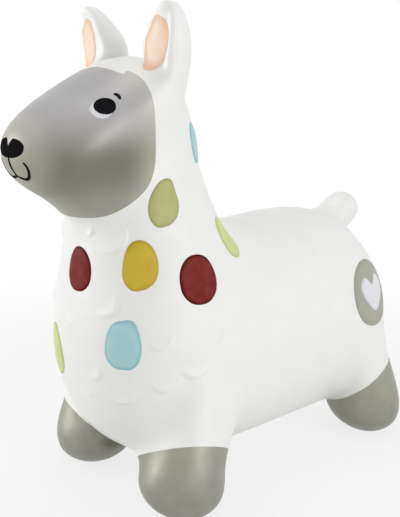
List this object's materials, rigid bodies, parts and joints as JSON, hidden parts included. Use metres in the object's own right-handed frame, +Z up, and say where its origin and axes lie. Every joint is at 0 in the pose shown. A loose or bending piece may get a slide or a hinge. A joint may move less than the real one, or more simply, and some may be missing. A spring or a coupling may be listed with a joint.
{
  "type": "bouncy ride on animal",
  "caption": "Inflatable bouncy ride-on llama for small children, with stub legs, upright ears and tail to hold on by, painted face and spots, and a plug valve in its belly.",
  "frame": {"origin": "centre of the bounding box on the floor, under the belly", "axes": "+Z up; the animal looks along -Y; its left side is +X"},
  "size_m": [0.2702, 0.5422, 0.5608],
  "materials": {
    "white_pvc": "soft rotocast PVC, satin",
    "plug_pvc": "moulded PVC, satin",
    "white_paint": "sprayed vinyl paint, satin",
    "grey_paint": "sprayed vinyl paint, satin",
    "black_paint": "sprayed vinyl paint, semi-gloss",
    "peach_paint": "sprayed vinyl paint, satin",
    "red_paint": "sprayed vinyl paint, satin",
    "yellow_paint": "sprayed vinyl paint, satin",
    "khaki_paint": "sprayed vinyl paint, satin",
    "teal_paint": "sprayed vinyl paint, satin",
    "lime_paint": "sprayed vinyl paint, satin"
  },
  "bodies": {
    "animal": {"skin": "white_pvc", "face_coat": "grey_paint", "foot_coat_front_left": "grey_paint", "foot_coat_front_right": "grey_paint", "foot_coat_rear_left": "grey_paint", "foot_coat_rear_right": "grey_paint", "ear_lining_left": "peach_paint", "ear_lining_right": "peach_paint", "eye_white_left": "white_paint", "eye_white_right": "white_paint", "pupil_left": "black_paint", "pupil_right": "black_paint", "lash_left": "black_paint", "lash_right": "black_paint", "nose_coat": "black_paint", "mouth_coat": "black_paint", "rump_disc": "grey_paint", "rump_heart": "white_paint", "spot_chest_middle": "red_paint", "spot_shoulder_left": "yellow_paint", "spot_flank_left": "red_paint", "spot_throat_left": "khaki_paint", "spot_chest_left": "teal_paint", "spot_chest_right": "lime_paint", "spot_neck_back_left": "teal_paint", "spot_withers_left": "lime_paint", "spot_shoulder_right": "teal_paint", "spot_flank_right": "khaki_paint", "spot_throat_right": "yellow_paint", "spot_belly_right": "red_paint", "spot_neck_back_right": "lime_paint", "spot_withers_right": "teal_paint"},
    "plug": {"valve_plug": "plug_pvc"}
  },
  "joints": [
    {"name": "valve_plug_slide", "type": "slide", "parent": "animal", "child": "plug", "axis": [0, 0, -1], "range_m": [0, 0.016]}
  ]
}
